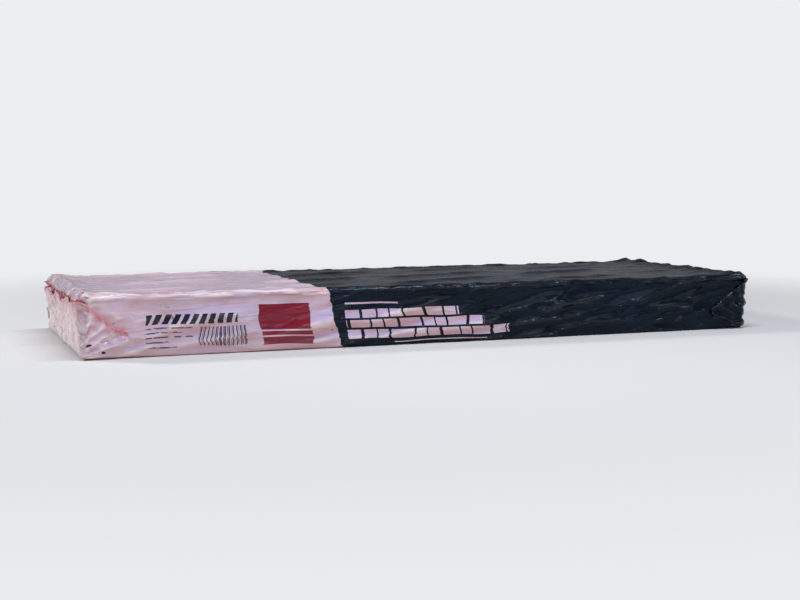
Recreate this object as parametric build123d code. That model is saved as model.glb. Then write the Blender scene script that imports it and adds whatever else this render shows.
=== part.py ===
from build123d import *
from math import cos, radians, sin
import os

# A bundle of laminated asphalt roofing shingles, closed in a film wrapper.
# The bundle lies on one large face. X runs along the shingles, Y across them and Z up, and the
# origin is the middle of the underside. The front is -Y. All sizes are in millimetres.

# Shingle: a granule-covered sheet cut into teeth along its butt edge, on a bonded backing strip.
shingle_length = 1000.0
shingle_width = 337.0
sheet_thickness = 2.4
shim_thickness = 2.4
shim_parting = 7.0  # room between the backing strips of two shingles laid back to back
head_overlap = 22.0  # band above the tooth roots where sheet and backing strip are bonded
gap_flare = 5.0  # how much wider, on each side, a gap between teeth is at the butt edge
gap_plan = (  # each gap between two teeth: its width at the root, and its offset along the shingle
    (66.0, -12.0),
    (104.0, 14.0),
    (58.0, -6.0),
    (92.0, 18.0),
    (74.0, -10.0),
)

# Stack: shingles in pairs laid back to back, with their butt edges on opposite sides.
shingle_count = 22
stack_jog = 1.5  # how far a shingle lies out of line with the stack, at most
jog_turn = 137.5  # degrees from one shingle's jog to the next one's

# Film wrapper: one sheet of film round the stack, with its ends folded shut.
film_wall = 0.5
film_gap = 0.3  # clearance between the film and the stack
ear_reach = 58.0  # how far an end's folded ear reaches along the long side
ear_tip_share = 0.34  # height of the ear's tip, as a share of the side's height
ear_thickness = 1.2
flap_thickness = 0.9  # the sealed flap folded up over each end
flap_hem = 11.0  # bare strip of the end above the flap
flap_slant = 14.0  # how much the flap narrows, on each side, towards its free edge

# The film's main folds: long low ridges that run slanting across the top and the long sides.
fold_width = 24.0
fold_crest = 2.0  # width of the narrow flat along a fold's top
fold_crest_share = 0.45  # length of that flat, as a share of the fold's length
fold_sink = 0.25  # how deep a fold's foot reaches into the film
top_fold_turn = 16.0  # degrees between the folds on the top and the bundle's length
side_fold_turn = 11.0
top_folds = (  # each fold: the place of its middle along X and Y, its length and its height
    (-395.0, -95.0, 150.0, 3.5),
    (-350.0, 20.0, 210.0, 4.0),
    (-300.0, 115.0, 170.0, 3.0),
    (-190.0, -110.0, 190.0, 3.5),
    (-150.0, -20.0, 240.0, 4.5),
    (-90.0, 80.0, 220.0, 4.0),
    (40.0, -85.0, 230.0, 4.5),
    (60.0, 10.0, 250.0, 4.0),
    (130.0, 120.0, 180.0, 3.5),
    (250.0, -110.0, 190.0, 4.0),
    (270.0, 0.0, 220.0, 4.5),
    (330.0, 95.0, 200.0, 3.5),
    (415.0, -50.0, 120.0, 3.0),
)
side_folds = (  # each fold: its middle along X and up from the floor, its length and its height
    (-345.0, 48.0, 150.0, 3.0),
    (-205.0, 31.0, 160.0, 3.5),
    (-60.0, 49.0, 160.0, 3.0),
    (75.0, 31.0, 160.0, 3.5),
    (205.0, 49.0, 160.0, 3.0),
    (345.0, 32.0, 150.0, 3.5),
)

# Sizes that follow from those above.
shim_width = (shingle_width - shim_parting) / 2
tooth_height = shim_width - head_overlap
pair_height = 2 * sheet_thickness + shim_thickness
lone_height = sheet_thickness + shim_thickness
stack_height = (shingle_count // 2) * pair_height + (shingle_count % 2) * lone_height
cavity_length = shingle_length + 2 * (stack_jog + film_gap)
cavity_width = shingle_width + 2 * (stack_jog + film_gap)
cavity_height = stack_height + 2 * film_gap
wrap_length = cavity_length + 2 * film_wall
wrap_width = cavity_width + 2 * film_wall
wrap_height = cavity_height + 2 * film_wall
edge_radius = film_gap + film_wall  # the film turns each edge of the stack at an even distance
stack_base = film_wall + film_gap


def tooth_gap(centre, root_width):
    """The outline cut out between two teeth, open at the butt edge."""
    butt_y = -shingle_width / 2
    root_y = butt_y + tooth_height
    root_half = root_width / 2
    butt_half = root_half + gap_flare
    return Polygon(
        (centre - butt_half, butt_y),
        (centre + butt_half, butt_y),
        (centre + root_half, root_y),
        (centre - root_half, root_y),
        align=None,
    )


def laminated_shingle():
    """One shingle lying face up, its butt edge at -Y and the back of its sheet at Z 0."""
    outline = Rectangle(shingle_length, shingle_width)
    pitch = shingle_length / len(gap_plan)
    for place, (root_width, offset) in enumerate(gap_plan):
        centre = (place + 0.5) * pitch - shingle_length / 2 + offset
        outline -= tooth_gap(centre, root_width)
    sheet = extrude(outline, sheet_thickness)
    shim_y = (shim_width - shingle_width) / 2
    shim = extrude(Pos(0, shim_y) * Rectangle(shingle_length, shim_width), -shim_thickness)
    return sheet + shim


def place_in_stack(shingle, number):
    """Lays a shingle at its place in the stack, counted from 0 at the bottom.

    The lower one of a pair lies face down with its butt edge in front. The upper one lies face up
    with its butt edge behind, so that its backing strip fills the room beside the other's.
    """
    pair, upper = divmod(number, 2)
    jog_x = stack_jog * cos(radians(jog_turn * number))
    jog_y = stack_jog * sin(radians(jog_turn * number))
    base = stack_base + pair * pair_height + sheet_thickness
    if upper:
        return Pos(jog_x, jog_y, base + shim_thickness) * Rot(0, 0, 180) * shingle
    return Pos(jog_x, jog_y, base) * Rot(0, 180, 0) * shingle


def rounded_block(length, width, height, radius, base):
    """A block that stands at the height of its base, with all its edges rounded."""
    block = Pos(0, 0, base + height / 2) * Box(length, width, height)
    return fillet(block.edges(), radius)


def folded_ear():
    """The triangle of doubled film laid back on the front, at the left end."""
    side = Plane.XZ.offset(wrap_width / 2)
    left = edge_radius - wrap_length / 2
    outline = Polygon(
        (left, edge_radius),
        (left + ear_reach, ear_tip_share * wrap_height),
        (left, wrap_height - edge_radius),
        align=None,
    )
    return extrude(side * outline, ear_thickness)


def end_flap():
    """The sealed flap of film folded up over the right end."""
    end = Plane.YZ.offset(wrap_length / 2)
    root_half = wrap_width / 2 - edge_radius
    free_half = root_half - flap_slant
    outline = Polygon(
        (-root_half, edge_radius),
        (root_half, edge_radius),
        (free_half, wrap_height - flap_hem),
        (-free_half, wrap_height - flap_hem),
        align=None,
    )
    return extrude(end * outline, flap_thickness)


def film_fold(length, height):
    """A long low ridge along X, its foot just below Z 0, that narrows to a crest."""
    crest_length = fold_crest_share * length
    ridge = Wedge(
        length,
        height + fold_sink,
        fold_width,
        (length - crest_length) / 2,
        (fold_width - fold_crest) / 2,
        (length + crest_length) / 2,
        (fold_width + fold_crest) / 2,
    )
    return Pos(0, 0, (height - fold_sink) / 2) * Rot(90, 0, 0) * ridge


def film_folds():
    """The main folds on the top and, alike, on both long sides."""
    folds = []
    for x, y, length, height in top_folds:
        folds.append(Pos(x, y, wrap_height) * Rot(0, 0, top_fold_turn) * film_fold(length, height))
    for x, z, length, height in side_folds:
        slanted = Rot(90, 0, 0) * Rot(0, 0, side_fold_turn) * film_fold(length, height)
        front_fold = Pos(x, -wrap_width / 2, z) * slanted
        folds += [front_fold, mirror(front_fold, about=Plane.XZ)]
    return folds


def film_wrapper():
    """The closed film skin, its folds, an ear at each end of both long sides, a flap on each end."""
    skin = rounded_block(wrap_length, wrap_width, wrap_height, edge_radius, 0)
    skin -= rounded_block(cavity_length, cavity_width, cavity_height, film_gap, film_wall)
    left_ears = folded_ear() + mirror(folded_ear(), about=Plane.XZ)
    ears = left_ears + mirror(left_ears, about=Plane.YZ)
    flaps = end_flap() + mirror(end_flap(), about=Plane.YZ)
    return skin + ears + flaps + film_folds()


def save(shape, name):
    """Writes one piece, named for what it is."""
    shape.label = name
    export_step(shape, os.path.join("parts", name + ".step"))


os.makedirs("parts", exist_ok=True)
shingle = laminated_shingle()
for number in range(shingle_count):
    save(place_in_stack(shingle, number), f"shingle_{number + 1:02d}")
save(film_wrapper(), "film_wrap")
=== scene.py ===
import math

import bpy
import numpy as np
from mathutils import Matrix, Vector


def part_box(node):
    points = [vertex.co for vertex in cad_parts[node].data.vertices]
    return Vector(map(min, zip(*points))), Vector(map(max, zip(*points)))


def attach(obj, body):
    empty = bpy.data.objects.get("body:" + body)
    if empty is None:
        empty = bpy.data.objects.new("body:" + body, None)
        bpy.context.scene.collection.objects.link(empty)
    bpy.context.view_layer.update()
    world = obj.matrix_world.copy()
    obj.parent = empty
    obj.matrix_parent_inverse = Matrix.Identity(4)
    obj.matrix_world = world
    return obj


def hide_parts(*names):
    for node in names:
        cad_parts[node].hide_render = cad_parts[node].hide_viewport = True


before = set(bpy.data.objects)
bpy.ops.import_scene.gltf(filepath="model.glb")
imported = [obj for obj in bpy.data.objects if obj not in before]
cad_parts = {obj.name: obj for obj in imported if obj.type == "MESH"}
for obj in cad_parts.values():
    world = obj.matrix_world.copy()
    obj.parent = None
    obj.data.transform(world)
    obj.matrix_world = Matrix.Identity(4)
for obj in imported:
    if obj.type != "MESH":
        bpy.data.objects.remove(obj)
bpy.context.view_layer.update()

# A bundle of asphalt shingles in a printed film wrapper. Lengths are in metres, X runs along the
# shingles from the pale end to the dark one, the front is -Y, and the origin is under the middle.
MM = 0.001
tiny = 1e-9  # stands for no length at all where a length divides

shingle_names = sorted(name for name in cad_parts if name.startswith("shingle_"))
stack_low = np.min([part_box(name)[0] for name in shingle_names], axis=0)
stack_high = np.max([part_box(name)[1] for name in shingle_names], axis=0)

# The film lies this far off the stack, and on the floor underneath.
film_gap = 0.7 * MM
skin_low = stack_low - film_gap
skin_high = stack_high + film_gap
skin_low[2] = 0.0
skin_length, skin_width, skin_height = skin_high - skin_low
corner_radius = 2.4 * MM
highest_fold = (5.0 * MM, 6.0 * MM, 3.0 * MM)  # broad folds on the ends, the long sides and the top

# A point, or a link's middle, is on a face when it lies this near its plane on the tight film.
on_face = 3 * MM
link_on_face = 4 * MM
in_plane = 1 * MM
sides_apart = 4.0  # sets the back apart from the front in a pattern, so that they don't match

# The film is settled on a coarse lattice first, and then twice more, on one half as wide each time.
coarse_cells = (60, 28, 8)
halvings = 2
settling_steps = (200, 120, 60)
fold_stiffness = (0.10, 0.10, 0.12)
suction = (0.0, 0.0, 0.004 * MM)
stirring = (1.0 * MM, 0.4 * MM, 0.2 * MM)
first_slack = 2.5 * MM  # how far off its tight place the film starts
uneven_gap = 0.35 * MM  # how unevenly it lies off the stack
free_rim = 14 * MM  # the strip along the underside's edges that isn't held to the floor
link_firmness = 1.2  # the share of a link's wrong length that is put right at once
easings = 2  # how often that is done in each step
grip = 0.02  # how firmly the stack holds the film from sliding, in each step
slide_kept = 0.9  # the share of its movement that the film keeps from step to step
ironing_passes = 2

# What the film has to spare, as a share of its length: round the bundle, low on a long side, near
# an end, at a rim and on an end, and along the bundle at the last three.
slack_low = 0.045
slack_near_end = 0.03
slack_rim = 0.03
slack_on_end = 0.02
slack_along = 0.02

# The main folds, as in the part's source: long low ridges slanting across the top and long sides.
fold_width = 24 * MM
fold_crest_share = 0.45
top_fold_turn = math.radians(16)
side_fold_turn = math.radians(11)
top_folds = (  # each fold: the place of its middle along X and Y, its length and its height
    (-395, -95, 150, 3.5),
    (-350, 20, 210, 4.0),
    (-300, 115, 170, 3.0),
    (-190, -110, 190, 3.5),
    (-150, -20, 240, 4.5),
    (-90, 80, 220, 4.0),
    (40, -85, 230, 4.5),
    (60, 10, 250, 4.0),
    (130, 120, 180, 3.5),
    (250, -110, 190, 4.0),
    (270, 0, 220, 4.5),
    (330, 95, 200, 3.5),
    (415, -50, 120, 3.0),
)
side_folds = (  # each fold: its middle along X and up from the floor, its length and its height
    (-345, 48, 150, 3.0),
    (-205, 31, 160, 3.5),
    (-60, 49, 160, 3.0),
    (75, 31, 160, 3.5),
    (205, 49, 160, 3.0),
    (345, 32, 150, 3.5),
)
fold_wander = 3.0 * MM

# The ends: a triangular ear at each end of both long sides, and a flap folded up over each end.
ear_reach = 58 * MM
ear_root = 9 * MM  # how far an ear's film runs round the corner, onto the end
ear_tip_share = 0.34
ear_hem = 8 * MM
ear_grid = (50, 38)
flap_hem = 11 * MM
flap_slant = 14 * MM
flap_grid = (170, 40)
above_floor = 2 * MM  # where the ears and flaps start
floor_border = 5  # cells of the film's underside kept round the one flat face that lies on the floor
ply = 0.45 * MM  # a folded layer's thickness
tuck = -0.4 * MM  # where a folded layer ends, just under the skin

# An ear or a flap bears no print, so its film coordinates lie this far past the film's end.
ear_past_end = 20 * MM
flap_past_end = 40 * MM

tears = (  # each small tear in the front: how far along it, how far up it, and its size
    (7 * MM, 19 * MM, 3.5 * MM),
    (26 * MM, 9 * MM, 2.5 * MM),
)

# The print, in millimetres. Each mark has its start and stop along the film from the pale end, and
# its top and bottom below the side's top edge.
print_lean = 0.17  # how far the print leans along the side, for each step down it
edge_lean = 0.26  # the same, for the edge between the pale half and the dark one
dark_start = 333
block_row = (80, 206, 26, 40)
block_pitch = 12.6
block_lean = -0.35
dashed_lines = (
    (80, 143, 44, 46.2),
    (80, 128, 50, 52.2),
    (80, 146, 56, 58.2),
    (80, 112, 62, 64.2),
    (80, 121, 68, 70.2),
)
bar_field = (153, 216, 44, 69)
bar_waves = (2480.0, 1150.0)  # two waves, in radians a metre, whose sum makes the uneven bars
crimson_block = (228, 300, 17, 72)
pale_stripes = ((51, 53.5), (59, 61.5))
courses = ((350, 520, 29, 40.8), (350, 558, 43.6, 55.4), (350, 596, 58.2, 70))
tab_pitch = 24.6
tab_shift = 12.3  # how far every second course is shifted
thin_rules = ((350, 432, 19, 21.5), (420, 560, 74.2, 75.8))

background_colour = (0.84, 0.85, 0.87, 1.0)
floor_reach = 8.0
floor_drop = 0.5 * MM


def smooth_step(low, high, value):
    """0 below low, 1 above high, and a smooth rise between them."""
    t = np.clip((value - low) / (high - low), 0.0, 1.0)
    return t * t * (3.0 - 2.0 * t)


def bell(distance, width):
    """1 at no distance, and smoothly down to 0 a few widths away."""
    return np.exp(-((distance / width) ** 2))


def zigzag(turns):
    """Straight lines down from 1 to 0 and up again, once in each turn."""
    return np.abs(2.0 * (turns % 1.0) - 1.0)


def random_waves(rng, count, wavelength, stretch):
    """Plane waves in random directions: how many turns each makes in a metre along X, Y and Z."""
    directions = rng.normal(size=(count, 3))
    directions /= np.linalg.norm(directions, axis=1)[:, None]
    return rng.uniform(0.7, 1.4, size=(count, 1)) * directions / (wavelength * np.array(stretch))


def wave_noise(points, wavelength, seed, stretch=(1.0, 1.0, 1.0), waves=14):
    """Smooth noise of about -1 to 1, as a sum of plane waves in seeded directions."""
    rng = np.random.default_rng(seed)
    turns = random_waves(rng, waves, wavelength, stretch)
    phases = rng.uniform(0.0, 2.0 * math.pi, size=waves)
    return np.cos(2.0 * math.pi * points @ turns.T + phases).sum(axis=-1) / math.sqrt(waves)


def grid_links(grids):
    """Point pairs that hold a film: its quads' sides and diagonals, and pairs two cells apart."""
    near = []
    far = []
    for grid in grids:
        near += [(grid[:-1, :], grid[1:, :]), (grid[:, :-1], grid[:, 1:])]
        near += [(grid[:-1, :-1], grid[1:, 1:]), (grid[1:, :-1], grid[:-1, 1:])]
        far += [(grid[:-2, :], grid[2:, :]), (grid[:, :-2], grid[:, 2:])]
    return unique_pairs(near), unique_pairs(far)


def unique_pairs(grids):
    """Each pair of point numbers once, from pairs of grids that hold them."""
    pairs = np.concatenate([np.stack([a.ravel(), b.ravel()], axis=1) for a, b in grids])
    return np.unique(np.sort(pairs, axis=1), axis=0)


def grid_quads(grids):
    """A four-sided face between each four neighbours in each grid of point numbers."""
    quads = []
    for grid in grids:
        corners = np.stack([grid[:-1, :-1], grid[1:, :-1], grid[1:, 1:], grid[:-1, 1:]], axis=-1)
        quads.append(corners.reshape(-1, 4))
    return np.concatenate(quads)


class Lattice:
    """The points of a box's surface divided into cells along X, Y and Z."""

    def __init__(self, cells):
        self.cells = np.array(cells)
        i, j, k = np.meshgrid(*(np.arange(n + 1) for n in cells), indexing="ij")
        shell = np.zeros(i.shape, bool)
        for index, count in zip((i, j, k), cells):
            shell |= (index == 0) | (index == count)
        self.number = np.full(i.shape, -1)
        self.number[shell] = np.arange(shell.sum())
        self.places = np.stack([i[shell], j[shell], k[shell]], axis=1)

    def grids(self):
        """Each of the six faces as a grid of point numbers, turned so that its quads face out."""
        n = self.number
        return [n[:, 0, :], n[::-1, -1, :], n[:, :, -1], n[::-1, :, 0], n[-1, :, :], n[0, ::-1, :]]

    def tight(self):
        """The points on the smooth box that the film would make if it were drawn tight."""
        points = skin_low + self.places * (skin_high - skin_low) / self.cells
        inside = np.clip(points, skin_low + corner_radius, skin_high - corner_radius)
        away = points - inside
        return inside + away * corner_radius / np.linalg.norm(away, axis=1)[:, None]

    def carry(self, finer, values):
        """Values at this lattice's points, brought to those of one with half its cells' width."""
        total = np.zeros((len(finer.places), values.shape[1]))
        for corner in np.ndindex(2, 2, 2):
            i, j, k = ((finer.places + corner) // 2).T
            total += values[self.number[i, j, k]]
        return total / 8.0


def over_stack(points):
    """How far each point lies off the stack, and the direction straight away from it."""
    middle = (stack_low + stack_high) / 2
    half = (stack_high - stack_low) / 2
    beyond = np.abs(points - middle) - half
    outside = np.maximum(beyond, 0.0)
    reach = np.linalg.norm(outside, axis=1)
    nearest = np.zeros_like(beyond)
    nearest[np.arange(len(beyond)), beyond.argmax(axis=1)] = 1.0
    out = np.where(reach[:, None] > tiny, outside / np.maximum(reach, tiny)[:, None], nearest)
    return reach + np.minimum(beyond.max(axis=1), 0.0), out * np.sign(points - middle)


def skin_spare(middle, reach):
    """The rest length of each of the skin's links, from its middle and its reach.

    The film is cut a little larger than the stack. What is spare along the bundle, round it, and on
    a slant gives the length, and the film folds across the direction that has the most to spare.
    """
    x, y, z = middle.T
    to_end = np.minimum(x - skin_low[0], skin_high[0] - x)
    on_side = np.abs(y) > skin_high[1] - link_on_face
    on_end = to_end < link_on_face
    on_top = z > skin_high[2] - link_on_face
    patch = np.clip(0.5 + 0.6 * wave_noise(middle, 0.20, 11, (1.6, 1.0, 1.0)), 0.0, 1.8)
    spots = np.clip(wave_noise(middle, 0.05, 12), 0.0, 1.5)
    by_end = 1.0 - smooth_step(0.0, 0.11, to_end)
    rim = on_top * spots * (1.0 - smooth_step(0.0, 0.030, skin_high[1] - np.abs(y)))
    low = on_side * (1.0 - smooth_step(0.25, 0.5, z / skin_height))
    girth = on_side * (0.003 + 0.006 * patch) + on_top * 0.004 * patch
    girth += slack_low * low + slack_near_end * by_end + slack_rim * rim + slack_on_end * on_end
    along = 0.003 * (0.6 + patch) + slack_along * rim + slack_along * by_end + slack_along * on_end
    slant = (0.014 * on_side + 0.008 * on_top) * patch
    angle = np.radians(22.0 + 14.0 * wave_noise(middle, 0.3, 31))
    across = np.where(on_side, reach[:, 2], reach[:, 1])
    slanted = np.cos(angle) * across - np.sin(angle) * reach[:, 0]
    lengthwise = reach[:, 0] ** 2
    whole = (reach**2).sum(axis=1)
    spare = girth * (whole - lengthwise) + along * lengthwise + slant * slanted**2
    return np.sqrt(whole + 2 * spare)


def linked_points(count, near, far, stiffness):
    """For each point, in a column, the points that it is linked to and how firmly each holds."""
    pairs = np.concatenate([near, far])
    firm = np.concatenate([np.ones(len(near)), np.full(len(far), stiffness)])
    source = np.concatenate([pairs[:, 0], pairs[:, 1]])
    order = np.argsort(source, kind="stable")
    source = source[order]
    row = np.arange(len(source)) - np.searchsorted(source, np.arange(count))[source]
    linked = np.tile(np.arange(count), (row.max() + 1, 1))
    held = np.zeros(linked.shape, np.float32)
    linked[row, source] = np.concatenate([pairs[:, 1], pairs[:, 0]])[order]
    held[row, source] = np.concatenate([firm, firm])[order]
    return linked, held


def settle(tight, start, links, gap, pinned, steps, stiffness, pull):
    """Lets a film find its folds: it keeps its length, slides little and stays off the stack."""
    linked, held = linked_points(len(tight), *links, stiffness)
    rest = np.stack([skin_spare((tight + tight[other]) / 2, tight[other] - tight) for other in linked])
    rest = rest.astype(np.float32)
    share = (link_firmness / held.sum(axis=0)).astype(np.float32)[:, None]
    free = np.where(pinned, 0.0, 1.0).astype(np.float32)[:, None]
    out = over_stack(tight)[1].astype(np.float32)
    highest = np.abs(out) @ np.array(highest_fold)
    tight = tight.astype(np.float32)
    x = start.astype(np.float32)
    before = x
    for _ in range(steps):
        height, away = over_stack(x)
        drawn = pull * np.clip(height / gap - 1.0, 0.0, 1.0)
        moved = x + free * ((x - before) * slide_kept - drawn[:, None] * away)
        before = x
        x = moved
        for _ in range(easings):
            x = x.astype(np.float32)
            sides = [np.ascontiguousarray(x[:, axis]) for axis in range(3)]
            sides = [side[linked] - side for side in sides]
            length = np.sqrt(sum(side**2 for side in sides)) + np.float32(tiny)
            tension = held * (1.0 - rest / length)
            x = x + free * share * np.stack([(tension * side).sum(axis=0) for side in sides], axis=1)
            slid = x - tight
            slid -= out * np.einsum("ij,ij->i", slid, out)[:, None]
            x = x - grip * free * slid
        height, away = over_stack(x)
        short = np.maximum(gap - height, 0.0) - np.maximum(height - highest, 0.0)
        x = x + free * away * short[:, None]
        x[:, 2] = np.maximum(x[:, 2], 0.0)
    return x.astype(float)


def ridges(points, wavelength, seed, stretch, width):
    """Long narrow ridges of 0 to 1 along the lines where a noise passes through zero."""
    line = np.abs(wave_noise(points, wavelength, seed, stretch)) / width
    return np.clip(1.0 - line, 0.0, 1.0) ** 1.4


def facets(points, size, seed, stretch=(1.0, 1.0, 1.0), waves=5):
    """Flat facets between straight sharp creases, as in crumpled film: heights of 0 to 1."""
    rng = np.random.default_rng(seed)
    turns = random_waves(rng, waves, size, stretch)
    bent = points + 0.15 * size * wave_noise(points, 2.5 * size, seed + 1, stretch)[..., None]
    folded = zigzag(bent @ turns.T + rng.uniform(0.0, 1.0, size=waves)).mean(axis=-1)
    return np.clip(0.5 + 0.8 * math.sqrt(waves) * (folded - 0.5), 0.0, 1.0)


def main_folds(across, up, folds, turn, wander):
    """The height of the main folds at places on one side, which wander a little from straight."""
    height = np.zeros(across.shape)
    for x, y, length, high in np.array(folds) * MM:
        along = math.cos(turn) * (across - x) + math.sin(turn) * (up - y)
        beside = math.cos(turn) * (up - y) - math.sin(turn) * (across - x) + wander
        from_end = 1.0 - np.abs(along) / (length / 2)
        reach = smooth_step(0.0, 1.0 - fold_crest_share, from_end)
        slope = np.clip(1.0 - np.abs(beside) / (fold_width / 2), 0.0, 1.0)
        height = np.maximum(height, high * reach * slope**1.2)
    return height


def creases(tight):
    """The height of the film's creases and main folds at each point, above its broad folds.

    Heights are in millimetres until they are given back, as they are in the next function.
    """
    x, y, z = (tight - skin_low).T
    on_side = np.minimum(y, skin_width - y) < on_face
    on_top = z > skin_height - on_face
    on_back = y > skin_width / 2
    slope = side_fold_turn * on_side
    along = np.cos(slope) * x + np.sin(slope) * z
    across = np.where(on_side, np.cos(slope) * z - np.sin(slope) * x, y * 0.96 - x * 0.28)
    drawn = np.stack([along, across, sides_apart * on_back * on_side], axis=1)
    patch = 0.35 + 0.75 * np.clip(wave_noise(tight, 0.16, 51, (1.6, 1.0, 0.6)) + 0.4, 0.0, 1.4)
    height = np.where(on_side, 3.8, 1.0) * ridges(drawn, 0.040, 52, (8.0, 1.0, 1.0), 0.42)
    height += np.where(on_side, 2.4, 0.8) * ridges(drawn, 0.020, 53, (9.0, 1.0, 1.0), 0.50)
    height *= patch
    wander = fold_wander * wave_noise(tight, 0.07, 58)
    over_top = main_folds(tight[:, 0], tight[:, 1], top_folds, top_fold_turn, wander)
    over_side = main_folds(tight[:, 0], tight[:, 2], side_folds, side_fold_turn, wander)
    height += (on_top * over_top + on_side * over_side) / MM
    low = on_side * (1.0 - smooth_step(0.25, 0.45, z / skin_height))
    level = np.stack([x, z, sides_apart * on_back], axis=1)
    height += low * 2.4 * ridges(level, 0.016, 54, (9.0, 1.0, 1.0), 0.6)
    return np.where(z < in_plane, 0.0, height * MM)


def crumples(tight):
    """The height of the sharp crumples along the rims and over the ends, at each point."""
    x, y, z = (tight - skin_low).T
    to_end = np.minimum(x, skin_length - x)
    to_side = np.minimum(y, skin_width - y)
    on_top = z > skin_height - on_face
    on_side = to_side < on_face
    rim = np.maximum(bell(to_side, 11 * MM) * on_top, on_side * bell(skin_height - z, 7 * MM))
    slanted = np.stack([x, y + 0.25 * x, z - 0.25 * x], axis=1)
    height = 3.0 * rim * facets(slanted, 0.016, 61, (5.0, 1.0, 1.0))
    height += 1.6 * rim * facets(slanted, 0.009, 62, (4.0, 1.0, 1.0))
    crumpled = bell(to_end, 20 * MM)
    crumpled *= np.where((to_end < in_plane) & (z < skin_height - 6 * MM), 0.45, 1.0)
    height += crumpled * (4.2 * facets(tight, 0.045, 56) + 2.4 * facets(tight, 0.020, 57))
    gathered = bell(to_end, 45 * MM) * smooth_step(0.5, 0.9, z / skin_height)
    height += 3.0 * gathered * facets(tight, 0.022, 65, (9.0, 1.0, 6.0), 3)
    return np.where(z < in_plane, 0.0, height * MM)


def ironed(points, lattice):
    """The film with its sharpest points eased, as film is too stiff to take them."""
    linked, held = linked_points(len(points), *grid_links(lattice.grids()), 0.0)
    share = held / held.sum(axis=0)
    for _ in range(ironing_passes):
        eased = np.stack([(share * points[linked, axis]).sum(axis=0) for axis in range(3)], axis=1)
        points = 0.5 * points + 0.5 * eased
    return points


def film_skin():
    """The film round the stack.

    Gives its points drawn tight, the same points settled, the heights of their creases, and the
    lattice that they are on.
    """
    lattice = Lattice(coarse_cells)
    tight = lattice.tight()
    out = over_stack(tight)[1]
    offset = first_slack * np.abs(wave_noise(tight, 0.07, 3, (3.0, 1.0, 1.0)))[:, None] * out
    for level in range(halvings + 1):
        stirred = stirring[level] * wave_noise(tight, 0.05 / 2**level, 20 + level, (2.0, 1.0, 1.0))
        start = tight + offset + stirred[:, None] * out
        uneven = uneven_gap * (1.0 + wave_noise(tight, 0.06, 41, (3.0, 1.0, 0.5)))
        gap = film_gap + np.clip(uneven, 0.0, None)
        underneath = out[:, 2] < -0.99
        pinned = underneath & (np.abs(tight[:, :2]) < skin_high[:2] - free_rim).all(axis=1)
        links = grid_links(lattice.grids())
        effort = (settling_steps[level], fold_stiffness[level], suction[level])
        settled = settle(tight, start, links, gap, pinned, *effort)
        if level == halvings:
            height = creases(tight)
            settled = ironed(settled + height[:, None] * out, lattice)
            settled += crumples(tight)[:, None] * out
            settled[:, 2] = np.maximum(settled[:, 2], 0.0)
            return tight, settled, height, lattice
        finer = Lattice(lattice.cells * 2)
        offset = lattice.carry(finer, settled - tight)
        lattice = finer
        tight = lattice.tight()
        out = over_stack(tight)[1]


def skin_faces(lattice):
    """The skin's faces, with one flat face in place of those well inside the underside."""
    inside = lattice.number[floor_border:-floor_border, floor_border:-floor_border, 0]
    flat = np.zeros(len(lattice.places), bool)
    flat[inside.ravel()] = True
    quads = grid_quads(lattice.grids())
    rim = [inside[0, :-1], inside[:-1, -1], inside[-1, :0:-1], inside[:0:-1, 0]]
    return quads[~flat[quads].all(axis=1)].tolist() + [np.concatenate(rim).tolist()]


def without_spare_points(faces, *values):
    """The faces, and the values at each point, once the points that no face uses are left out."""
    used = np.unique(np.concatenate([np.array(face) for face in faces]))
    number = np.zeros(used[-1] + 1, int)
    number[used] = np.arange(len(used))
    return [number[face].tolist() for face in faces], [value[used] for value in values]


def level_of(grid, passes=10):
    """A grid of heights, smoothed: the level that its bumps and hollows lie about."""
    for _ in range(passes):
        wide = np.pad(grid, 1, mode="edge")
        grid = (wide[:-2, 1:-1] + wide[2:, 1:-1] + wide[1:-1, :-2] + wide[1:-1, 2:]) / 4.0
    return grid


class FilmSurface:
    """The settled film, found again from places on the box that it would make if drawn tight."""

    def __init__(self, lattice, settled):
        self.cells = lattice.cells
        faces = [settled[grid] for grid in lattice.grids()]
        self.front, self.back, _, _, self.dark_end, self.pale_end = faces

    def sample(self, face, across, up):
        """Places on one face, from how far across and up it they lie, counted in cells."""
        i = np.clip(np.floor(across).astype(int), 0, face.shape[0] - 2)
        k = np.clip(np.floor(up).astype(int), 0, face.shape[1] - 2)
        a = (across - i)[..., None]
        b = (up - k)[..., None]
        low = face[i, k] * (1 - a) + face[i + 1, k] * a
        high = face[i, k + 1] * (1 - a) + face[i + 1, k + 1] * a
        return low * (1 - b) + high * b

    def on_side(self, along, up, side):
        """Places on the front (side -1) or the back (side 1), from metres along and up it."""
        across = along / skin_length * self.cells[0]
        face = self.front if side < 0 else self.back[::-1]
        return self.sample(face, across, up / skin_height * self.cells[2])

    def on_end(self, across, up, end):
        """Places on the pale end (end -1) or the dark end (end 1), from metres across and up it."""
        cells_across = across / skin_width * self.cells[1]
        face = self.dark_end if end > 0 else self.pale_end[::-1]
        return self.sample(face, cells_across, up / skin_height * self.cells[2])


def edges_of(grid):
    """A grid's four edges, each in the order that makes the faces along it point out."""
    return grid[:, 0], grid[::-1, -1], grid[-1, :], grid[0, ::-1]


def closed_patch(outer, inner):
    """A thin closed shell between two grids of points: its points, and its faces as numbers."""
    rows, columns = outer.shape[:2]
    number = np.arange(rows * columns).reshape(rows, columns)
    under = number + rows * columns
    quads = [grid_quads([number]), grid_quads([under[::-1]])]
    for edge, below in zip(edges_of(number), edges_of(under)):
        quads.append(np.stack([edge[:-1], below[:-1], below[1:], edge[1:]], axis=1))
    points = np.concatenate([outer.reshape(-1, 3), inner.reshape(-1, 3)])
    return points, np.concatenate(quads)


def layer_grid(low, high, counts):
    """Two grids: from low to high along a folded layer's length, and from 0 to 1 up it."""
    return np.meshgrid(np.linspace(low, high, counts[0]), np.linspace(0.0, 1.0, counts[1]), indexing="ij")


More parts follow.
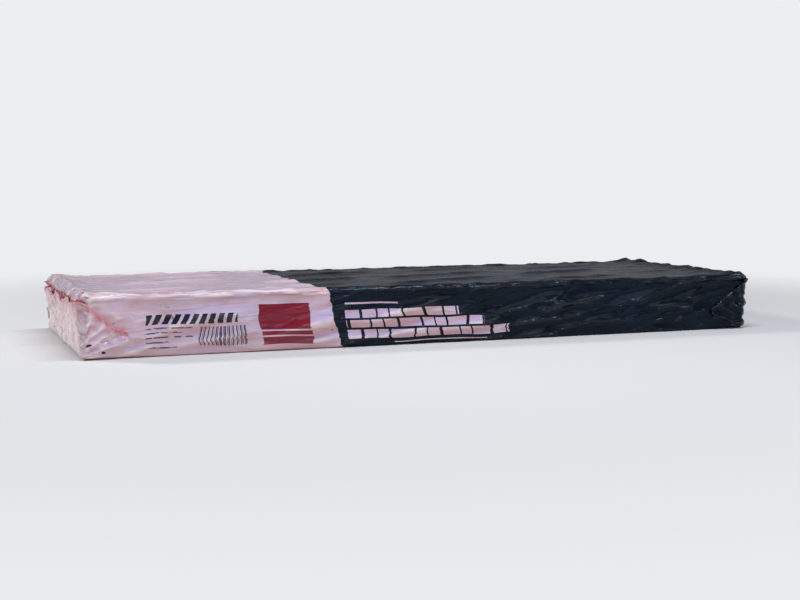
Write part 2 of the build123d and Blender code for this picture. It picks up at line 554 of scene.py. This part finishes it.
def folded_layer(points, out, proud, free_edge, relief_depth):
    """A layer's outer and inner points, so many millimetres proud, and its crests (1) and hollows (0).

    Its edges are tucked under the skin, all but the upper one where that is free.
    """
    tucked = np.zeros(proud.shape, bool)
    tucked[[0, -1], :] = True
    tucked[:, 0] = True
    tucked[:, -1] |= not free_edge
    proud = np.where(tucked, tuck, proud * MM)
    crest = np.clip(0.5 + (proud - level_of(proud)) / relief_depth, 0.0, 1.0)
    outer = points + out * proud[..., None]
    inner = points + out * (proud - ply)[..., None]
    return outer, inner, crest


def folded_ear(surface, end, side):
    """The triangle of film laid back double on a long side, at one end.

    Gives grids of its outer and inner points, its doubling and painted shade, and how raised and crumpled
    it is.
    How far it stands proud of the skin is worked out in millimetres.
    """
    s, t = layer_grid(-ear_root, ear_reach, ear_grid)
    seed = 60 + 2 * end + side
    flat = np.stack([s, t * 0.05, 0 * s], axis=-1)
    taper = np.clip(s / ear_reach, 0.0, 1.0)
    tip = ear_tip_share * skin_height
    low = above_floor + taper * (tip - 6 * MM)
    top = skin_height - 3 * MM
    high = top - taper**0.85 * (top - tip - 3 * MM)
    high = np.minimum(high + 1.5 * MM * wave_noise(flat[:, :1], 0.02, seed), top)
    up = low + t * (high - low)
    along = s if end < 0 else skin_length - s
    across = -s if side < 0 else skin_width + s
    on_end = surface.on_end(across, up, end)
    points = np.where((s < 0.0)[..., None], on_end, surface.on_side(along, up, side))
    out = over_stack(points.reshape(-1, 3))[1].reshape(points.shape)
    hem = bell((1.0 - t) * (high - low), ear_hem)
    lower_hem = bell(t * (high - low), 3 * MM)
    angle = np.arctan2(up, s + 2 * ear_root)
    spread = np.clip(np.hypot(up, s) / (35 * MM), 0.1, 1.0)
    pleats = spread * zigzag(3.6 * angle + 0.12 * wave_noise(flat, 0.04, seed + 1))
    gathers = zigzag(s / (6.5 * MM) + 0.4 * wave_noise(flat, 0.02, seed + 2))
    proud = 0.7 + 2.6 * pleats + hem * (1.0 + 1.4 * gathers) + 0.8 * lower_hem
    proud += 1.6 * facets(points, 0.018, seed + 3)
    proud += 3.0 * bell(s - 2 * MM, 6 * MM) * facets(points, 0.012, seed + 4)
    proud *= smooth_step(-ear_root, 0.0, s)
    outer, inner, crest = folded_layer(points, out, proud, False, 2.0 * MM)
    corner = bell(s + 3.0 * MM, 3.0 * MM) * smooth_step(0.25, 0.5, t)
    # The salmon on the hem and in the corner fold is painted shade and backlight, partly the deeper tint of
    # film laid double.
    doubled_and_shaded = np.maximum(0.2 + 0.7 * hem, 0.95 * corner)
    crumpled = 0.8 + 1.4 * bell(s - 1 * MM, 7 * MM)
    return turned((outer, inner, doubled_and_shaded, crest, crumpled), side * end < 0)


def end_flap(surface, end):
    """The flap folded up over an end, gathered, with a ragged free edge. Gives what an ear does."""
    across, t = layer_grid(0.0, 1.0, flap_grid)
    seed = 80 + end
    place = np.stack([0 * across, across * skin_width, t * skin_height], axis=-1)
    along_edge = place * (0, 1, 0)
    half = skin_width / 2 - 4 * MM - flap_slant * t
    ragged = 3 * MM * wave_noise(along_edge, 0.05, seed)
    ragged += 1.5 * MM * wave_noise(along_edge, 0.012, seed + 1)
    hem_up = skin_height - flap_hem + np.minimum(ragged, flap_hem - 3 * MM)
    up = above_floor + t * (hem_up - above_floor)
    points = surface.on_end(skin_width / 2 + (2 * across - 1) * half, up, end)
    out = np.zeros(points.shape)
    out[..., 0] = end
    gathers = 4.4 * facets(place, 0.036, seed + 2, (1.0, 1.0, 2.6))
    gathers += 1.4 * facets(place, 0.019, seed + 4)
    curl = np.clip(wave_noise(along_edge, 0.06, seed + 3) + 0.8, 0.0, 2.0)
    proud = 0.8 + gathers + 3.0 * curl * t**3
    proud *= smooth_step(0.0, 0.15, t) * smooth_step(0.0, 0.03, np.minimum(across, 1.0 - across))
    outer, inner, crest = folded_layer(points, out, proud, True, 2.4 * MM)
    doubled_and_shaded = 0.2 + 0.4 * t**3
    crumpled = 0.45 + 0.75 * t**2
    return turned((outer, inner, doubled_and_shaded, crest, crumpled), end < 0)


def turned(grids, mirrored):
    """A folded layer's grids, in the order that makes its outer faces point out."""
    return [grid[::-1] for grid in grids] if mirrored else grids


def film_place(tight, height):
    """Film coordinates: how far each point is from the pale end and below the side's top edge, and 0.

    A crease takes film from what is beside it, so the print steps sideways where it crosses one.
    """
    x, y, z = tight.T
    drawn_along = 0.9 * height + 1.6 * MM * wave_noise(tight, 0.035, 71, (3.0, 1.0, 1.0))
    u = x - skin_low[0] + drawn_along
    beyond = np.maximum(np.abs(y) - skin_high[1], np.abs(x) - skin_high[0])
    v = np.where(z > skin_high[2] - in_plane, np.maximum(beyond, -12 * MM), skin_high[2] - z)
    underneath = (z < in_plane) & (u > 0) & (u < skin_length)
    v = np.where(underneath, skin_height + 2 * MM, v)
    v += 1.0 * MM * wave_noise(tight, 0.04, 72, (2.0, 1.0, 1.0))
    return np.stack([u, v, 0.0 * u], axis=1)


def relief(lattice, settled, lift, passes=6):
    """How much each point lies above (to 1) or below (to 0) the film that is round it."""
    linked, held = linked_points(len(settled), *grid_links(lattice.grids()), 1.0)
    share = held / held.sum(axis=0)
    level = lift
    for _ in range(passes):
        level = 0.3 * level + 0.7 * (share * level[linked]).sum(axis=0)
    return np.clip(0.5 + (lift - level) / (3.0 * MM), 0.0, 1.0)


def near_end(tight):
    """1 at the ends, where the film is crumpled, 2 on their top rims, and 0 well away from them."""
    to_end = skin_high[0] - np.abs(tight[:, 0])
    on_rim = smooth_step(skin_high[2] - 18 * MM, skin_high[2] - 6 * MM, tight[:, 2])
    return (1.0 + on_rim) * bell(to_end, 16 * MM)


def under_rim(tight):
    """1 on the band above each end's flap, painted as a shaded recess of many layers, and 0 elsewhere."""
    x, _, z = (tight - skin_low).T
    on_end = np.minimum(x, skin_length - x) < in_plane
    above = smooth_step(skin_height - flap_hem - 14 * MM, skin_height - flap_hem - 4 * MM, z)
    ragged = skin_height - (2.5 + 9.0 * facets(tight, 0.030, 64)) * MM
    return on_end * above * (1.0 - smooth_step(0.0, 2.5 * MM, z - ragged))


def painted_light_lean(piece, points, skin_count):
    """How far each point leans to the sky, and on top to the pale end, for painted sky and bounce light."""
    leaning = np.empty(3 * len(points))
    piece.data.vertex_normals.foreach_get("vector", leaning)
    leaning = leaning.reshape(-1, 3)
    out = over_stack(points)[1]
    up = out[:, 2]
    from_end, from_side, from_top = np.abs(skin_high - np.abs(points)).T
    from_rim = np.hypot(from_top, np.minimum(from_side, from_end))
    plain = smooth_step(2 * MM, 10 * MM, from_rim) * (1.0 - 0.75 * np.abs(out[:, 0]))
    plain[skin_count:] *= 0.4
    return plain * ((leaning[:, 2] - up) * (1.0 - up) - 0.8 * leaning[:, 0] * up)


def film_wrapper():
    """The whole film in one mesh: the skin, the four ears and the two flaps."""
    tight, settled, height, lattice = film_skin()
    lift = over_stack(settled)[0]
    faces, (skin_points, *values) = without_spare_points(
        skin_faces(lattice),
        settled,
        film_place(tight, height),
        relief(lattice, settled, lift),
        under_rim(tight),
        near_end(tight),
    )
    points = [skin_points]
    place, crest, doubled_and_shaded, crumpled = [[value] for value in values]
    surface = FilmSurface(lattice, settled)
    layers = [(folded_ear(surface, end, side), end, ear_past_end) for end in (-1, 1) for side in (-1, 1)]
    layers += [(end_flap(surface, end), end, flap_past_end) for end in (-1, 1)]
    count = len(skin_points)
    for (outer, inner, hem, ridge, rough), end, past_end in layers:
        patch_points, patch_faces = closed_patch(outer, inner)
        points.append(patch_points)
        faces += (patch_faces + count).tolist()
        count += len(patch_points)
        u = -past_end if end < 0 else skin_length + past_end
        place.append(np.tile([u, skin_height / 2, 0.0], (len(patch_points), 1)))
        crest.append(np.tile(ridge.ravel(), 2))
        doubled_and_shaded.append(np.tile(hem.ravel(), 2))
        crumpled.append(np.tile(rough.ravel(), 2))
    points = np.concatenate(points)
    piece = add_piece("film_wrapper", points, faces, printed_film())
    add_values(piece, "painted_light_lean", painted_light_lean(piece, points, len(skin_points)))
    names = ("film_place", "crest", "doubled_and_shaded", "crumpled")
    for name, values in zip(names, (place, crest, doubled_and_shaded, crumpled)):
        add_values(piece, name, np.concatenate(values))
    return piece


def add_values(piece, name, values):
    """Stores a value or a place for each of the piece's points, for its material to read."""
    kind, field = ("FLOAT", "value") if values.ndim == 1 else ("FLOAT_VECTOR", "vector")
    piece.data.attributes.new(name, kind, "POINT").data.foreach_set(field, values.ravel())


def add_piece(name, points, faces, material):
    """A smooth mesh object at the origin."""
    mesh = bpy.data.meshes.new(name)
    mesh.from_pydata(points.tolist(), [], faces)
    mesh.polygons.foreach_set("use_smooth", [True] * len(mesh.polygons))
    mesh.materials.append(material)
    mesh.update()
    piece = bpy.data.objects.new(name, mesh)
    bpy.context.scene.collection.objects.link(piece)
    return piece


def ink(red, green, blue):
    """A colour as a picture program gives it, from 0 to 255, made linear for the shader."""
    share = np.array([red, green, blue]) / 255.0
    linear = np.where(share < 0.04045, share / 12.92, ((share + 0.055) / 1.055) ** 2.4)
    return (*linear, 1.0)


class Finish:
    """A material and its nodes. A call adds a node or a few, and gives back what they put out."""

    def __init__(self, name):
        self.material = bpy.data.materials.new(name)
        self.material.use_nodes = True
        self.tree = self.material.node_tree
        self.shader = self.tree.nodes["Principled BSDF"]

    def add(self, kind, values, **settings):
        """A node with its settings, and a value or a link for each socket named."""
        node = self.tree.nodes.new(kind)
        for name, setting in settings.items():
            setattr(node, name, setting)
        for key, value in values.items():
            self.give(node.inputs[key], value)
        return node

    def give(self, socket, value):
        if isinstance(value, bpy.types.NodeSocket):
            self.tree.links.new(value, socket)
        else:
            socket.default_value = value

    def set(self, name, value):
        self.give(self.shader.inputs[name], value)

    def stored(self, name, output="Fac"):
        """A value that each of the piece's points carries."""
        return self.add("ShaderNodeAttribute", {}, attribute_name=name).outputs[output]

    def here(self):
        return self.add("ShaderNodeTexCoord", {}).outputs["Object"]

    def math(self, operation, first, second=0.0):
        return self.add("ShaderNodeMath", {0: first, 1: second}, operation=operation).outputs[0]

    def vector(self, operation, first, second):
        return self.add("ShaderNodeVectorMath", {0: first, 1: second}, operation=operation).outputs[0]

    def length(self, vector):
        return self.add("ShaderNodeVectorMath", {0: vector}, operation="LENGTH").outputs["Value"]

    def chain(self, operation, values):
        """Many values made one, by the same operation on each in turn."""
        total = values[0]
        for value in values[1:]:
            total = self.math(operation, total, value)
        return total

    def times(self, *shares):
        return self.chain("MULTIPLY", shares)

    def most(self, *shares):
        return self.chain("MAXIMUM", shares)

    def rise(self, value, low, high, start=0.0, end=1.0):
        """start where the value is below low, end where it is above high, smooth between them."""
        values = {"Value": value, "From Min": low, "From Max": high, "To Min": start, "To Max": end}
        return self.add("ShaderNodeMapRange", values, interpolation_type="SMOOTHSTEP").outputs[0]

    def band(self, value, low, high, edge=0.3 * MM):
        """1 between two values and 0 outside them."""
        return self.times(self.rise(value, low, low + edge), self.rise(value, high - edge, high, 1.0, 0.0))

    def mark(self, u, v, start, stop, top, bottom):
        """1 inside an upright block of print, given in millimetres along and down the side."""
        return self.times(self.band(u, start * MM, stop * MM), self.band(v, top * MM, bottom * MM))

    def blend(self, share, first, second):
        """The first colour where the share is 0, and the second where it is 1."""
        return self.add("ShaderNodeMix", {0: share, 6: first, 7: second}, data_type="RGBA").outputs[2]

    def around(self, stretch=(1.0, 1.0, 1.0), turn=(0.0, 0.0, 0.0)):
        """Object coordinates, stretched and turned so that a pattern runs the way it should."""
        values = {"Vector": self.here(), "Scale": stretch, "Rotation": turn}
        return self.add("ShaderNodeMapping", values).outputs[0]

    def noise(self, place, scale, detail=2.0, roughness=0.5, distortion=0.0):
        values = {"Vector": place, "Scale": scale, "Detail": detail, "Roughness": roughness}
        values["Distortion"] = distortion
        return self.add("ShaderNodeTexNoise", values).outputs[0]

    def crease_lines(self, noise, width):
        """1 along the lines where a noise passes through its middle, down to 0 beside them."""
        return self.rise(self.math("ABSOLUTE", self.math("SUBTRACT", noise, 0.5)), 0.0, width, 1.0, 0.0)

    def facets(self, stretch, finer):
        """Flat facets between straight creases, a few millimetres wide: heights of 0 to 1."""
        heights = []
        for turn, scale in ((0.3, 26.0), (1.1, 38.0), (1.9, 31.0), (2.5, 47.0), (0.7, 53.0)):
            place = self.around(stretch, (turn, 0.4 * turn, 1.7 * turn))
            values = {"Vector": place, "Scale": finer * scale, "Distortion": 1.2, "Detail": 0.0}
            values["Detail Scale"] = 0.5
            heights.append(self.add("ShaderNodeTexWave", values, wave_profile="TRI").outputs["Fac"])
        return self.times(self.chain("ADD", heights), 1.0 / len(heights))

    def bump(self, height, distance, strength, under=None):
        values = {"Height": height, "Distance": distance, "Strength": strength}
        if under is not None:
            values["Normal"] = under
        return self.add("ShaderNodeBump", values).outputs[0]


def leaning_along(film, u, v, lean):
    """Places along the side for a pattern that leans as it runs down it."""
    return film.math("SUBTRACT", u, film.times(v, lean))


def plain_print(film, u, v):
    """The print on the pale half, as shares: black ink, crimson ink, and film left bare in it."""
    pitches = film.math("DIVIDE", leaning_along(film, u, v, block_lean), block_pitch * MM)
    leaning_blocks = film.band(film.math("FRACT", pitches), 0.05, 0.72, 0.03)
    blocks = film.times(film.mark(u, v, *block_row), leaning_blocks)
    dashes = film.rise(film.noise(film.around((0.35, 1.0, 1.0)), 420.0, 0.0), 0.40, 0.44)
    lines = film.times(film.most(*(film.mark(u, v, *line) for line in dashed_lines)), dashes)
    first_wave, second_wave = (film.math("SINE", film.times(u, turns)) for turns in bar_waves)
    uneven = film.rise(film.math("ADD", first_wave, second_wave), -0.15, 0.15)
    bars = film.times(film.mark(u, v, *bar_field), uneven)
    black = film.most(blocks, film.times(lines, 0.85), film.times(bars, 0.92))
    block = film.mark(leaning_along(film, u, v, print_lean), v, *crimson_block)
    stripes = film.most(*(film.band(v, top * MM, bottom * MM) for top, bottom in pale_stripes))
    return black, block, film.times(stripes, block)


def dark_print(film, u, v):
    """The bare film left in the black half, as a share: courses of tabs between thin rules."""
    leaning = leaning_along(film, u, v, print_lean)
    marks = []
    for number, course in enumerate(courses):
        shifted = film.math("ADD", leaning, (number % 2) * tab_shift * MM)
        uneven = film.math("SINE", film.times(leaning, 61.0 + 17.0 * number))
        shifted = film.math("ADD", shifted, film.times(uneven, 5 * MM))
        tabs = film.band(film.math("FRACT", film.math("DIVIDE", shifted, tab_pitch * MM)), 0.06, 0.94, 0.02)
        marks.append(film.times(film.mark(leaning, v, *course), tabs))
    for rule in thin_rules:
        marks.append(film.mark(leaning, v, *rule))
    return film.most(*marks)


def tear_share(film):
    """1 in the small tears at the pale end's front corner: the dark stack, with painted shade in the hole.
    """
    ragged = film.times(film.noise(film.around((1.0, 0.3, 1.0)), 150.0, 1.0), 6 * MM)
    here = film.here()
    holes = []
    for along, up, size in tears:
        centre = (skin_low[0] + along, skin_low[1] - 1 * MM, up)
        apart = film.vector("MULTIPLY", film.vector("SUBTRACT", here, centre), (0.7, 0.3, 1.3))
        away = film.math("ADD", film.length(apart), ragged)
        holes.append(film.rise(away, size + 2.2 * MM, size + 2.9 * MM, 1.0, 0.0))
    return film.most(*holes)


def bare_film(film, u, crest, broad, crumples, crumpled, shards, at_rim):
    """The pink of the unprinted film, with painted light: sky and bounce tints, highlights and shade."""
    # Painted light: lavender where the film faces up, as if lit by the sky, and peach where it faces down,
    # as if lit by warm bounce from below.
    leaning = film.stored("painted_light_lean")
    pink = film.blend(film.rise(broad, 0.35, 0.65), ink(198, 177, 196), ink(207, 180, 192))
    pink = film.blend(film.rise(leaning, 0.02, 0.30, 0.0, 0.8), pink, ink(184, 171, 209))
    pink = film.blend(film.rise(leaning, -0.02, -0.30, 0.0, 0.8), pink, ink(208, 167, 167))
    # Painted sunlight: the end flaps are paler than the rest of the film, as if lit by the sun.
    on_flap = film.rise(u, -30 * MM, -35 * MM)
    pink = film.blend(film.times(on_flap, 0.8), pink, ink(236, 216, 216))
    # Painted shade: salmon in the hollows between creases. Painted highlight: paler on the crests.
    pink = film.blend(film.times(film.rise(crest, 0.5, 0.0), 0.4), pink, ink(200, 126, 138))
    pink = film.blend(film.times(film.rise(crest, 0.55, 1.0), 0.6), pink, ink(236, 218, 222))
    # Painted highlights on the crumples' peaks and the rim's shards, and painted shade in their hollows, in
    # salmon.
    high = film.most(
        film.times(film.rise(crumples, 0.50, 0.66), crumpled, 0.35),
        film.times(film.rise(shards, 0.50, 0.62), at_rim),
    )
    painted_crease_shade = film.most(
        film.times(film.rise(crumples, 0.46, 0.32), crumpled, 0.22),
        film.times(film.rise(shards, 0.44, 0.34), at_rim),
    )
    pink = film.blend(film.times(high, 0.7), pink, ink(243, 226, 228))
    pink = film.blend(film.times(painted_crease_shade, 0.45), pink, ink(204, 122, 132))
    # Salmon on the hems, in the corner folds and under the end rims: painted shade and backlight, partly
    # the deeper tint of film laid double.
    doubled_and_shaded = film.rise(film.stored("doubled_and_shaded"), 0.2, 0.9)
    return film.blend(film.times(doubled_and_shaded, 0.75), pink, ink(202, 102, 108))


def pale_half(film, pink, u, v, broad):
    """The pale half's colour: its print, small dark marks, and grime low down."""
    black_ink, crimson_ink, bare = plain_print(film, u, v)
    crimson = film.blend(film.rise(broad, 0.3, 0.7), ink(122, 14, 38), ink(136, 20, 44))
    colour = film.blend(film.times(crimson_ink, film.math("SUBTRACT", 1.0, bare)), pink, crimson)
    colour = film.blend(black_ink, colour, ink(26, 24, 34))
    marks = film.noise(film.around((0.5, 1.0, 1.0), (0.0, math.radians(-20), 0.0)), 130.0, 2.0, 0.6)
    here_and_there = film.rise(film.noise(film.around(), 16.0, 1.0), 0.5, 0.6)
    marks = film.times(film.rise(marks, 0.70, 0.73), here_and_there)
    colour = film.blend(film.times(marks, 0.7), colour, ink(84, 70, 82))
    low = film.rise(v, skin_height * 0.6, skin_height)
    grime = film.times(film.rise(film.noise(film.around((0.4, 1.0, 1.0)), 30.0, 3.0), 0.45, 0.7), low)
    return film.blend(film.times(grime, 0.35), colour, ink(150, 128, 134))


def dark_half(film, pink, u, v, crest, broad, fine):
    """The dark half's colour: black ink with bare tabs, painted patches of blue sheen, scuffs on its
    crests.
    """
    scuffs = film.noise(film.around((0.3, 1.0, 1.0)), 330.0, 3.0, 0.7)
    scuffs = film.times(film.rise(scuffs, 0.61, 0.68), film.rise(crest, 0.6, 0.8))
    black = film.blend(film.rise(fine, 0.3, 0.7), ink(4, 8, 16), ink(8, 14, 27))
    # Painted sheen: broad lighter blue patches, as if the film mirrored the sky.
    black = film.blend(film.rise(broad, 0.45, 0.75, 0.0, 0.7), black, ink(13, 24, 42))
    colour = film.blend(dark_print(film, u, v), black, pink)
    return film.blend(film.times(scuffs, 0.4), colour, ink(160, 166, 180))


def printed_film():
    """Thin glossy film: pale pink at one end, printed black at the other, scuffed on its folds."""
    film = Finish("printed_film")
    place = film.add("ShaderNodeSeparateXYZ", {0: film.stored("film_place", "Vector")})
    u = place.outputs[0]
    v = place.outputs[1]
    crest = film.stored("crest")
    crumpled = film.stored("crumpled")
    broad = film.noise(film.around(), 9.0, 3.0)
    fine = film.noise(film.around((0.3, 1.0, 1.0)), 60.0)
    crumples = film.facets((1.0, 1.0, 1.0), 0.7)
    shards = film.facets((0.16, 1.0, 1.0), 1.0)
    at_rim = film.times(film.rise(v, -11 * MM, -6 * MM), film.rise(v, 4 * MM, 9 * MM, 1.0, 0.0))
    at_rim = film.times(at_rim, film.rise(u, 2 * MM, 9 * MM))

    pink = bare_film(film, u, crest, broad, crumples, crumpled, shards, at_rim)
    pale = pale_half(film, pink, u, v, broad)
    black = dark_half(film, pink, u, v, crest, broad, fine)
    uneven_edge = film.times(film.noise(film.around(), 24.0, 1.0), 5 * MM)
    edge = film.math("ADD", leaning_along(film, u, v, edge_lean), uneven_edge)
    dark = film.rise(edge, dark_start * MM, (dark_start + 0.6) * MM)
    colour = film.blend(dark, pale, black)
    # The tears are painted dark: the stack's own colour, darkened with painted shade.
    film.set("Base Color", film.blend(tear_share(film), colour, ink(30, 27, 27)))

    # The gloss, stronger on the crests and weaker where the black ink lies over it.
    film.set("Roughness", film.rise(fine, 0.3, 0.7, 0.18, 0.30))
    film.set("Specular IOR Level", 0.20)
    film.set("Specular Tint", (0.55, 0.76, 1.0, 1.0))
    pale_gloss = film.rise(crest, 0.5, 0.8, 0.45, 1.0)
    dark_gloss = film.rise(crest, 0.6, 0.9, 0.05, 0.4)
    gloss = film.add("ShaderNodeMapRange", {"Value": dark, "To Min": pale_gloss, "To Max": dark_gloss})
    film.set("Coat Weight", gloss.outputs[0])
    film.set("Coat Roughness", 0.10)

    # The wrinkles that are too fine for the mesh.
    slanted = film.around((0.16, 1.0, 1.0), (0.0, math.radians(-12), 0.0))
    ripples = film.crease_lines(film.noise(slanted, 55.0, 1.0, 0.4, 0.4), 0.11)
    crinkles = film.crease_lines(film.noise(film.around((0.3, 1.0, 1.0)), 100.0, 1.0, 0.4, 0.6), 0.12)
    normal = film.bump(ripples, 0.8 * MM, 0.7)
    normal = film.bump(film.times(crumples, crumpled), 4.5 * MM, 1.0, normal)
    normal = film.bump(film.times(shards, at_rim), 3.0 * MM, 1.0, normal)
    film.set("Normal", film.bump(crinkles, 0.3 * MM, 0.45, normal))
    return film.material


def granule_asphalt():
    """Ceramic granules on asphalt: blends of grey, brown and near-black grains."""
    stone = Finish("granule_asphalt")
    grains = stone.add("ShaderNodeTexVoronoi", {"Vector": stone.around(), "Scale": 700.0})
    shade = stone.add("ShaderNodeSeparateColor", {0: grains.outputs["Color"]}).outputs[0]
    colour = stone.blend(stone.rise(shade, 0.2, 0.6), ink(44, 40, 38), ink(96, 84, 74))
    colour = stone.blend(stone.rise(shade, 0.7, 0.95), colour, ink(138, 128, 118))
    patch = stone.noise(stone.around(), 14.0)
    stone.set("Base Color", stone.blend(stone.rise(patch, 0.4, 0.6, 0.0, 0.35), colour, ink(58, 50, 45)))
    stone.set("Roughness", 0.9)
    stone.set("Normal", stone.bump(grains.outputs["Distance"], 1 * MM, 0.6))
    return stone.material


def floor_finish(near, far):
    """A pale floor that fades with distance into the plain background."""
    ground = Finish("floor")
    ground.set("Base Color", (0.68, 0.68, 0.68, 1.0))
    ground.set("Roughness", 0.8)
    seen = ground.add("ShaderNodeLightPath", {}).outputs["Is Camera Ray"]
    fade = ground.times(ground.rise(ground.length(ground.here()), near, far), seen)
    glow = ground.add("ShaderNodeEmission", {"Color": background_colour, "Strength": 1.0}).outputs[0]
    mixed = ground.add("ShaderNodeMixShader", {0: fade, 1: ground.shader.outputs[0], 2: glow}).outputs[0]
    ground.tree.links.new(mixed, ground.tree.nodes["Material Output"].inputs["Surface"])
    return ground.material


def pale_floor():
    """A wide floor just under the bundle."""
    corners = floor_reach * np.array([(-1, -1, 0), (1, -1, 0), (1, 1, 0), (-1, 1, 0)])
    floor = add_piece("floor", corners, [(0, 1, 2, 3)], floor_finish(near=0.6, far=1.5))
    floor.location.z = -floor_drop
    return floor


def studio_world(colour, strength):
    """Plain soft light from all round, with the plain background where the camera sees it."""
    world = bpy.data.worlds.new("studio")
    world.use_nodes = True
    tree = world.node_tree
    soft = tree.nodes["Background"]
    soft.inputs["Color"].default_value = colour
    soft.inputs["Strength"].default_value = strength
    shown = tree.nodes.new("ShaderNodeBackground")
    shown.inputs["Color"].default_value = background_colour
    path = tree.nodes.new("ShaderNodeLightPath")
    mixed = tree.nodes.new("ShaderNodeMixShader")
    tree.links.new(path.outputs["Is Camera Ray"], mixed.inputs[0])
    tree.links.new(soft.outputs[0], mixed.inputs[1])
    tree.links.new(shown.outputs[0], mixed.inputs[2])
    tree.links.new(mixed.outputs[0], tree.nodes["World Output"].inputs["Surface"])
    bpy.context.scene.world = world


def add_light(name, place, target, size, power, colour=(1.0, 1.0, 1.0), mirrored=True):
    """A soft lamp that the camera doesn't see, and whose image in gloss can be left out."""
    lamp = bpy.data.lights.new(name, "AREA")
    lamp.shape = "RECTANGLE"
    lamp.size, lamp.size_y = size
    lamp.energy = power
    lamp.color = colour
    holder = bpy.data.objects.new(name, lamp)
    holder.location = place
    holder.rotation_euler = (Vector(target) - Vector(place)).to_track_quat("-Z", "Y").to_euler()
    holder.visible_camera = False
    holder.visible_glossy = mirrored
    bpy.context.scene.collection.objects.link(holder)


def add_camera(azimuth, elevation, distance, focal_length, target):
    """The camera, as degrees round from the front and up, and metres away from what it faces."""
    camera = bpy.data.cameras.new("camera")
    camera.lens = focal_length
    holder = bpy.data.objects.new("camera", camera)
    bpy.context.scene.collection.objects.link(holder)
    turn = math.radians(azimuth)
    rise = math.radians(elevation)
    away = Vector((math.sin(turn) * math.cos(rise), -math.cos(turn) * math.cos(rise), math.sin(rise)))
    holder.location = Vector(target) + away * distance
    holder.rotation_euler = (-away).to_track_quat("-Z", "Y").to_euler()
    bpy.context.scene.camera = holder


film = film_wrapper()
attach(film, "root")
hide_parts("film_wrap")

granules = granule_asphalt()
for name in shingle_names:
    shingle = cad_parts[name]
    shingle.data.materials.clear()
    shingle.data.materials.append(granules)

floor = pale_floor()
studio_world(colour=(0.90, 0.94, 1.0, 1.0), strength=0.26)
bpy.context.scene.view_settings.view_transform = "Standard"

# Each lamp: its name, its place, where it points, its size, its power and its colour, if not white.
add_light("key", (-2.3, 1.1, 1.55), (-0.2, 0, 0.05), (0.4, 0.4), 43, mirrored=False)
add_light("overhead", (0.1, -0.55, 1.7), (0, 0, 0.05), (1.5, 0.14), 24, (0.90, 0.93, 1.0))
add_light("strip", (0.62, -1.75, 0.85), (0.05, 0, 0.05), (1.4, 0.9), 5)
add_light("low_fill", (-0.7, -1.7, 0.16), (0, 0, 0.05), (1.5, 0.16), 3.2, (1.0, 0.86, 0.80))
add_camera(azimuth=-21.0, elevation=5.5, distance=2.05, focal_length=60.0, target=(0.0, 0.0, 0.045))
